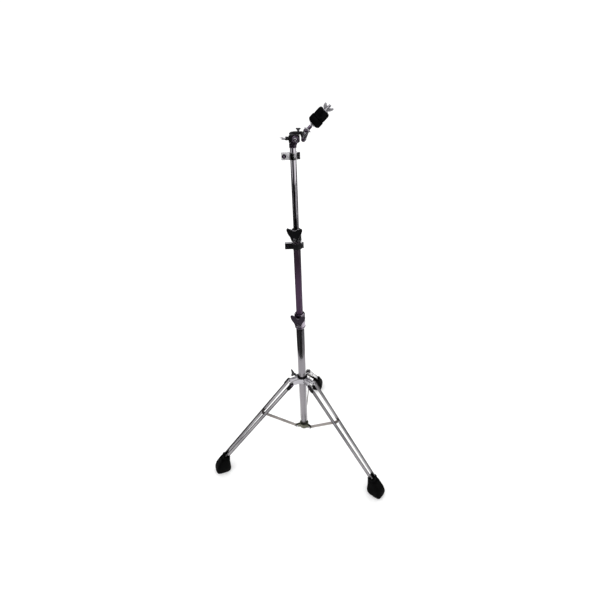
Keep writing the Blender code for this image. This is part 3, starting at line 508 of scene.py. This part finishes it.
# The foot from its sole up: radius, height, tilt, half length and half width of each section.
BOOT = [(0.3890, 0.0000, 0.00, 0.0235, 0.0175), (0.3890, 0.0008, 0.00, 0.0268, 0.0208),
        (0.3890, 0.0040, 0.00, 0.0310, 0.0245), (0.3890, 0.0100, 0.00, 0.0330, 0.0265),
        (0.3890, 0.0190, 0.00, 0.0340, 0.0275), (0.3873, 0.0290, 0.02, 0.0324, 0.0271),
        (0.3852, 0.0400, 0.04, 0.0295, 0.0258), (0.3812, 0.0500, 0.07, 0.0259, 0.0238),
        (0.3770, 0.0600, 0.10, 0.0225, 0.0218), (0.3735, 0.0675, 0.14, 0.0202, 0.0203),
        (0.3712, 0.0714, 0.18, 0.0184, 0.0190), (0.3698, 0.0732, 0.21, 0.0166, 0.0181),
        (0.3690, 0.0742, 0.22, 0.0157, 0.0176), (0.3672, 0.0800, 0.28, 0.0155, 0.0175),
        (0.3658, 0.0842, 0.33, 0.0154, 0.0174), (0.3655, 0.0850, 0.34, 0.0146, 0.0167)]
GROOVES = (0.0075, 0.0125, 0.0175)


def boot():
    """The rubber foot: smooth sides and three fine grooves above the sole; leg() cuts a socket for each
    rail.
    """
    rings = []
    for low, high in zip(BOOT, BOOT[1:]):
        for k in range(3):
            t = k / 3
            r, z, tilt, long, wide = (a + (b - a) * t for a, b in zip(low, high))
            groove = sum(math.exp(-((z - g) / 0.0006) ** 2) for g in GROOVES) * 0.0007
            rings.append(foot_ring(r, z, tilt, long - groove, wide - groove))
    rings.append(foot_ring(*BOOT[-1]))
    return loft(rings)


def carved(mesh, cutters):
    """The mesh with the cutters taken out of it."""
    host = bpy.data.objects.new("host", mesh)
    bpy.context.collection.objects.link(host)
    tools = []
    for cutter in cutters:
        tool = bpy.data.objects.new("tool", cutter)
        bpy.context.collection.objects.link(tool)
        cut = host.modifiers.new("cut", "BOOLEAN")
        cut.operation, cut.solver, cut.object = "DIFFERENCE", "EXACT", tool
        tools.append(tool)
    made = bpy.data.meshes.new_from_object(host.evaluated_get(bpy.context.evaluated_depsgraph_get()))
    for obj in [host, *tools]:
        bpy.data.objects.remove(obj, do_unlink=True)
    return made


def rail_room(side):
    """The socket that a rail's end needs in the foot."""
    rings = []
    for at in (RAIL_END - 0.05, RAIL_END + 0.0003):
        near, far = rail_inside(at) - 0.0003, rail_inside(at) + 0.0048
        corners = ((near, -0.0083), (far, -0.0083), (far, 0.0083), (near, 0.0083))
        rings.append([(at, side * y, z) for y, z in corners])
    return loft(rings)


# How each rail's rounded top end grows: place along the leg, share of the full height.
RAIL_START = [(-0.0090, 0.50), (-0.0084, 0.66), (-0.0072, 0.80), (-0.0056, 0.91), (-0.0036, 0.98),
              (-0.0012, 1.0)]


def leg(name, azimuth):
    """One leg: two rails with their pivot caps, screws and brace rivets, and the foot."""
    body = f"leg_{name}_body"
    hinge = AT_COLUMN @ spin(azimuth, "Z") @ shift(HUB_PIVOT[0], 0, HUB_PIVOT[1])
    at = hinge @ Matrix.Rotation(LEG_SLOPE, 4, "Y")
    for side, label, outward in ((-1, "left", OFF_Y), (1, "right", ON_Y)):
        places = RAIL_START + [(RAIL_END * k / 24, 1.0) for k in range(1, 25)]
        rail = loft([rail_section(s, side, f) for s, f in places])
        node = f"leg_{name}_rail_{label}"
        piece(f"rail_{name}_{label}", rail, body, LEG_CHROME, at, replaces=node, smooth=50)
        low = RAIL_INSIDE[0] + 0.0048
        outline = arc(0, 0, 0.0080, 90, 270, 14) + arc(0.0200, 0, 0.0080, -90, 90, 14)
        cover = slab(outline, side * low, side * (low + 0.0040))
        stud = turned(lathe([(0.0030, 0.0092), (0.0030, low + 0.001)], 32), outward)
        node = f"leg_{name}_cap_{label}"
        piece(f"pivot_cap_{name}_{label}", merged(cover, stud), body, NYLON, at, 0.0013, 4, node)
        screw = lathe([(0.0044, 0.0), (0.0044, 0.0008), (0.0036, 0.0016), (0.0020, 0.0018),
                       (0.0018, 0.0010)], 40)
        turned(screw, outward, shift(0, side * (low + 0.0034), 0))
        piece(f"pivot_screw_{name}_{label}", screw, body, DARK_CHROME, at)
        inner = rail_inside(BRACE_JOINT)
        rivet = lathe([(0.0040, inner - 0.0008), (0.0046, inner - 0.0004), (0.0046, inner + 0.0001),
                       (0.0030, inner + 0.0002), (0.0030, inner + 0.0016), (0.0050, inner + 0.0017),
                       (0.0047, inner + 0.0025), (0.0034, inner + 0.0032), (0.0014, inner + 0.0036)], 40)
        turned(rivet, outward, shift(BRACE_JOINT, 0, 0))
        piece(f"brace_rivet_{name}_{label}", rivet, body, CHROME, at)
    foot = carved(boot(), [rail_room(1), rail_room(-1)])
    piece(f"boot_{name}", foot, body, RUBBER, at, replaces=f"foot_{name}", smooth=50)


def brace(name, azimuth):
    """One flat brace with pressed ribs and its eye on the leg's rivets, and its pin in the collar's fork."""
    run = HUB_PIVOT[0] + BRACE_JOINT * math.cos(LEG_SLOPE) - COLLAR_PIVOT[0]
    rise = HUB_PIVOT[1] - BRACE_JOINT * math.sin(LEG_SLOPE) - COLLAR_PIVOT[1]
    length, slope = math.hypot(run, rise), math.atan2(rise, run)
    hinge = AT_COLUMN @ spin(azimuth, "Z") @ shift(COLLAR_PIVOT[0], 0, COLLAR_PIVOT[1])
    at = hinge @ Matrix.Rotation(-slope, 4, "Y")
    outline = arc(0, 0, 0.0060, 90, 270, 14) + arc(length, 0, 0.0060, -90, 90, 14)
    bar = slab(outline, -0.0015, 0.0015)
    bar = carved(bar, [turned(lathe([(0.0033, -0.004), (0.0033, 0.004)], 32), ON_Y)])
    rib = arc(0.020, 0, 0.0020, 90, 270, 8) + arc(length - 0.018, 0, 0.0020, -90, 90, 8)
    ribs = [slab(rib, -0.0019, -0.0014), slab(rib, 0.0014, 0.0019)]
    eye = turned(lathe([(0.0044, -0.0098), (0.0050, -0.0092), (0.0050, 0.0092), (0.0044, 0.0098)], 40),
                 ON_Y, shift(length, 0, 0))
    strut = merged(bar, *ribs, eye)
    piece(f"strut_{name}", strut, f"brace_{name}_body", BRACE_CHROME, at, 0.0004, 2, f"brace_{name}")
    end = [(0.0030, 0.0053), (0.0050, 0.0053), (0.0050, 0.0056), (0.0046, 0.0068), (0.0032, 0.0074)]
    pin = lathe([(r, -y) for r, y in reversed(end)] + end, 40)
    piece(f"fork_pin_{name}", turned(pin, ON_Y), "base_column", CHROME, hinge, replaces=f"collar_pin_{name}")


for leg_name, leg_azimuth in LEGS.items():
    leg(leg_name, leg_azimuth)
    brace(leg_name, leg_azimuth)

# ---------------------------------------------------------------- head
refined("boom_socket", "upper_column", DARK_CHROME, 0.0006)
refined("boom_cradle", "upper_column", BLACK, 0.0009)
refined("boom_head", "boom", BLACK, 0.0012)
refined("tilter_arm", "arm", CHROME, 0.0008,
        paint=(BRASSY, lambda c: (c - COLUMN - Vector((ROD_PIVOT[0], 0, ROD_PIVOT[1]))).xz.length < 0.0075))
refined("cymbal_rod_base", "seat_rod", DARK_CHROME, 0.0007)


def teeth(radius, inner, count, low, high):
    """A ring of radial teeth on a face, about Z."""
    bm = bmesh.new()
    for k in range(count):
        a, half = 2 * math.pi * k / count, math.pi / count
        corners = [(inner, a - half, low), (inner, a + half, low), (radius, a + half, low),
                   (radius, a - half, low), (inner, a, high - 0.0002), (radius, a, high)]
        v = [bm.verts.new((r * math.cos(t), r * math.sin(t), z)) for r, t, z in corners]
        for face in ((0, 1, 2, 3), (0, 4, 5, 3), (1, 2, 5, 4), (0, 1, 4), (3, 2, 5)):
            bm.faces.new([v[j] for j in face])
    return finished(bm)


bolt_at = AT_COLUMN @ shift(RATCHET[0], 0, RATCHET[1])
ratchet = teeth(0.0096, 0.0062, 28, -0.0001, 0.0007)
piece("ratchet_teeth", turned(ratchet, OFF_Y, shift(0, -0.0144, 0)), "upper_column", DARK_CHROME, bolt_at)
hexagon = arc(0, 0, 0.0050, 30, 330, 5)
nut = slab(hexagon, 0.0123, 0.0157)
shank = lathe([(0.0032, -0.0182), (0.0046, -0.0172), (0.0046, -0.0151), (0.0025, -0.0148), (0.0025, 0.0158),
               (0.0018, 0.0163)], 40)
piece("boom_bolt_finished", merged(turned(shank, ON_Y), nut), "upper_column", CHROME, bolt_at, 0.0003, 2,
      "boom_pivot_bolt")

screw_at = AT_COLUMN @ shift(0, 0, BOOM_SCREW_Z) @ spin(180, "Z") @ spin(-70, "X")
blade = curved([(0.0165, 0.0018), (0.0176, 0.0046), (0.0240, 0.0100), (0.0308, 0.0134), (0.0358, 0.0129),
                (0.0365, 0.0107), (0.0302, 0.0058), (0.0232, 0.0026), (0.0228, 0.0)], 4)
blades = merged(slab(blade, -0.0014, 0.0014), slab([(x, -z) for x, z in blade], -0.0014, 0.0014))
knob = lathe([(0.0050, 0.0154), (0.0056, 0.0159), (0.0056, 0.0208), (0.0042, 0.0230)], 40)
stem = lathe([(0.0019, 0.0067), (0.0022, 0.0070), (0.0022, 0.0160)], 32)
piece("boom_knob", merged(turned(knob, ON_X), turned(stem, ON_X)), "boom_bolt", BLACK, screw_at, 0.0003, 2,
      "boom_wing_bolt")
piece("boom_wings", blades, "boom_bolt", CHROME, screw_at, 0.0005)

t_stem = lathe([(0.0019, 1.3763), (0.0022, 1.3767), (0.0022, 1.3890)], 32)
t_thread = thread(0.0022, 0.00025, 0.0008, 1.3770, 1.3860)
t_bar = lathe([(0.0012, -0.0073), (0.0022, -0.0066), (0.0022, 0.0066), (0.0012, 0.0073)], 32)
turned(t_bar, ON_X, shift(0, 0, 1.3890))
t_web = slab([(-0.0058, 1.3885), (0.0058, 1.3885), (0.0021, 1.3812), (-0.0021, 1.3812)], -0.0011, 0.0011)
piece("t_screw_finished", merged(t_stem, t_thread, t_bar, t_web), "t_screw", BLACK,
      AT_COLUMN @ shift(SCREW_X, 0, 0), replaces="tilter_t_screw")

arm_at = AT_COLUMN @ shift(ARM_PIVOT[0], 0, ARM_PIVOT[1])
arm_bolt = lathe([(0.0020, -0.0094), (0.0024, -0.0100), (0.0040, -0.0098), (0.0048, -0.0088),
                  (0.0048, -0.0069), (0.0025, -0.0069), (0.0025, 0.0103), (0.0018, 0.0106)], 40)
arm_nut = slab([(x * 0.96, z * 0.96) for x, z in hexagon], 0.0078, 0.0102)
piece("arm_bolt_finished", merged(turned(arm_bolt, ON_Y), arm_nut), "arm", DARK_CHROME, arm_at, 0.0003, 2,
      "tilter_pivot_bolt")

joint_at = AT_COLUMN @ shift(ROD_PIVOT[0], 0, ROD_PIVOT[1]) @ spin(38, "Y")
joint_screw = lathe([(0.0030, -0.0096), (0.0046, -0.0088), (0.0048, -0.0070), (0.0025, -0.0069),
                     (0.0025, 0.0100), (0.0045, 0.0101), (0.0048, 0.0106), (0.0048, 0.0140),
                     (0.0034, 0.0165)], 40)
tab = curved([(0.0020, 0.0112), (0.0060, 0.0124), (0.0100, 0.0158), (0.0110, 0.0186), (0.0094, 0.0194),
              (0.0060, 0.0172), (0.0020, 0.0152)], 4)
tabs = [loft([[(s * x, y, z) for x, y in tab] for z in (-0.0014, 0.0014)]) for s in (-1, 1)]
piece("joint_wings", merged(turned(joint_screw, ON_Y), *tabs), "tilter_bolt", DARK_CHROME, joint_at,
      0.0004, 2, "tilter_wing_bolt")

rod_at = AT_COLUMN @ shift(ROD_PIVOT[0], ROD_Y, ROD_PIVOT[1]) @ Matrix.Rotation(ROD_LEAN, 4, "Y")
bar = lathe([(0.0034, 0.0098), (0.0040, 0.0104), (0.0040, 0.0960), (0.0032, 0.0970)], 48)
piece("seat_bar", merged(bar, thread(0.0039, 0.00025, 0.0010, 0.0895, 0.0958)), "seat_rod", CHROME, rod_at,
      replaces="cymbal_rod")
seat = lathe([(0.0043, 0.0210), (0.0064, 0.0210), (0.0070, 0.0216), (0.0076, 0.0238), (0.0100, 0.0250),
              (0.0155, 0.0256), (0.0160, 0.0261), (0.0160, 0.0269), (0.0043, 0.0269)], 72, True)
piece("seat_cup", seat, "seat_rod", CHROME, rod_at, 0.0002, 2, "cymbal_seat")
sleeve = lathe([(0.0043, 0.0272), (0.0062, 0.0272), (0.0062, 0.0750), (0.0058, 0.0754),
                (0.0043, 0.0754)], 64, True)
piece("seat_sleeve", sleeve, "seat_rod", NYLON, rod_at, replaces="cymbal_sleeve")


def felt(name, node, profile):
    """A pressed felt washer with a slightly uneven, fibrous face."""
    fine = []
    for (r0, z0), (r1, z1) in zip(profile, profile[1:] + profile[:1]):
        steps = max(1, int(math.hypot(r1 - r0, z1 - z0) / 0.0012))
        fine += [(r0 + (r1 - r0) * k / steps, z0 + (z1 - z0) * k / steps) for k in range(steps)]
    mesh = lathe(fine, 110, True)
    for v in mesh.vertices:
        if math.hypot(v.co.x, v.co.y) > 0.0072:
            n = v.normal
            wide = noise.fractal(v.co * 190, 1.0, 2.0, 3)
            fibre = noise.fractal(v.co * 900, 1.0, 2.0, 2)
            v.co += n * (-0.00035 + 0.00022 * wide + 0.00012 * fibre)
    made = piece(name, mesh, "seat_rod", FELT, rod_at, replaces=node, smooth=80)
    return made


felt("lower_pad", "felt_lower",
     [(0.0065, 0.0272), (0.0150, 0.0272), (0.0180, 0.0276), (0.0198, 0.0288), (0.0206, 0.0308),
      (0.0208, 0.0380), (0.0206, 0.0452), (0.0200, 0.0470), (0.0188, 0.0480), (0.0065, 0.0481)])
felt("upper_pad", "felt_upper",
     [(0.0065, 0.0486), (0.0175, 0.0486), (0.0186, 0.0493), (0.0191, 0.0508), (0.0191, 0.0680),
      (0.0186, 0.0712), (0.0174, 0.0736), (0.0155, 0.0750), (0.0065, 0.0751)])

nut_at = rod_at @ spin(50, "Z")
top = lathe([(0.0043, 0.0757), (0.0096, 0.0757), (0.0100, 0.0761), (0.0100, 0.0770), (0.0074, 0.0779),
             (0.0070, 0.0800), (0.0060, 0.0880), (0.0054, 0.0887), (0.0043, 0.0887)], 64, True)
leaf = curved([(0.0050, 0.0772), (0.0102, 0.0784), (0.0165, 0.0822), (0.0211, 0.0884), (0.0211, 0.0924),
               (0.0182, 0.0938), (0.0122, 0.0905), (0.0050, 0.0880)], 4)
leaves = [slab([(s * x, z) for x, z in leaf], -0.0017, 0.0017) for s in (-1, 1)]
piece("top_wings", merged(top, *leaves), "top_nut", CHROME, nut_at, 0.0006, 3, "cymbal_wing_nut")

for node in ("lower_clamp_bush", "upper_clamp_bush"):
    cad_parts[node].material_slots[0].material = NYLON


# ---------------------------------------------------------------- studio
def studio_card(name, mesh, tone, glow=0.0):
    """A matt studio surface around the stand."""
    card = bpy.data.objects.new(name, mesh)
    bpy.context.collection.objects.link(card)
    matt = bpy.data.materials.new(name)
    matt.use_nodes = True
    inputs = matt.node_tree.nodes["Principled BSDF"].inputs
    inputs["Base Color"].default_value = (tone, tone, tone, 1)
    inputs["Roughness"].default_value = 1.0
    inputs["Specular IOR Level"].default_value = 0.0
    inputs["Emission Color"].default_value = (1, 1, 1, 1)
    inputs["Emission Strength"].default_value = glow
    mesh.materials.append(matt)
    return card


def flag(name, start, end, low, high, tone):
    """A curved card round the stand that only polished metal picks up in its reflections."""
    bm = bmesh.new()
    steps = max(2, int((end - start) / 6))
    rows = []
    for z in (low, high):
        turn = [math.radians(start + (end - start) * k / steps) for k in range(steps + 1)]
        rows.append([bm.verts.new((COLUMN.x + math.cos(a), COLUMN.y + math.sin(a), z)) for a in turn])
    for k in range(steps):
        bm.faces.new((rows[0][k], rows[0][k + 1], rows[1][k + 1], rows[1][k]))
    mesh = bpy.data.meshes.new(name)
    bm.to_mesh(mesh)
    bm.free()
    card = studio_card(name, mesh, tone)
    card.visible_camera = card.visible_diffuse = card.visible_shadow = card.visible_transmission = False


FLOOR_HALF = 40.0
FLAG, DIM, SOFT, PALE, BRIGHT = 0.05, 0.24, 0.42, 0.50, 0.62
# The cards round the stand: name, azimuth from and to, height from and to, tone.
CARDS = (("low_flag", 82.0, 236.0, 0.0, 0.45, FLAG), ("low_strip", 236.0, 243.0, 0.0, 0.45, DIM),
         ("low_front", 243.0, 316.0, 0.0, 0.45, FLAG), ("low_card", -44.0, 82.0, 0.0, 0.45, SOFT),
         ("high_flag", 44.0, 195.0, 0.45, 1.36, FLAG), ("side_flag", 195.0, 225.0, 0.45, 0.95, FLAG),
         ("side_card", 195.0, 225.0, 0.95, 1.36, DIM), ("front_flag", 225.0, 272.0, 0.45, 1.36, FLAG),
         ("front_low", 272.0, 288.0, 0.45, 1.07, FLAG), ("front_card", 272.0, 288.0, 1.07, 1.20, BRIGHT),
         ("front_high", 272.0, 288.0, 1.20, 1.36, FLAG), ("right_flag", 288.0, 350.0, 0.45, 0.98, FLAG),
         ("right_card", -10.0, 44.0, 0.45, 0.98, SOFT), ("top_flag", 288.0, 304.0, 0.98, 1.36, FLAG),
         ("top_card", -56.0, 14.0, 0.98, 1.36, PALE), ("top_side", 14.0, 44.0, 0.98, 1.36, FLAG))
# The lamps: name, place, width and height, power.
LAMPS = (("key", (-1.8, -2.2, 2.6), (1.2, 2.2), 12), ("fill", (2.4, -1.4, 1.8), (0.8, 2.4), 8),
         ("back", (0.4, 2.6, 2.4), (2.0, 1.6), 8))
LAMP_AIM = Vector((0, 0, 0.8))
CAMERA_FROM = Vector((0.2664, -1.2218, 1.5478))     # from the foot of the column
CAMERA_AIM = spin(12.151, "Z") @ spin(59.091, "X") @ spin(-2.263, "Z")
CAMERA_LENS = 23.48


def studio():
    """A pale floor, the cards, an even white sky, three soft lamps and the camera."""
    corners = ((-1, -1), (1, -1), (1, 1), (-1, 1))
    floor = loft([[(FLOOR_HALF * x, FLOOR_HALF * y, z) for x, y in corners] for z in (-0.02, -0.0002)])
    studio_card("studio_floor", floor, 0.93, 0.14)
    for card in CARDS:
        flag(*card)

    world = bpy.data.worlds.new("studio")
    bpy.context.scene.world = world
    world.use_nodes = True
    world.node_tree.nodes["Background"].inputs["Color"].default_value = (1.0, 1.0, 1.0, 1)
    world.node_tree.nodes["Background"].inputs["Strength"].default_value = 1.06
    for name, place, size, power in LAMPS:
        light = bpy.data.lights.new(name, "AREA")
        light.shape, light.size, light.size_y, light.energy = "RECTANGLE", size[0], size[1], power
        lamp = bpy.data.objects.new(name, light)
        bpy.context.collection.objects.link(lamp)
        lamp.location = place
        lamp.rotation_euler = (LAMP_AIM - lamp.location).to_track_quat("-Z", "Y").to_euler()

    camera_data = bpy.data.cameras.new("camera")
    camera_data.lens = CAMERA_LENS
    camera_data.clip_start = 0.01
    camera = bpy.data.objects.new("camera", camera_data)
    bpy.context.collection.objects.link(camera)
    camera.matrix_world = Matrix.Translation(COLUMN + CAMERA_FROM) @ CAMERA_AIM
    bpy.context.scene.camera = camera
    bpy.context.scene.view_settings.view_transform = "Standard"


studio()
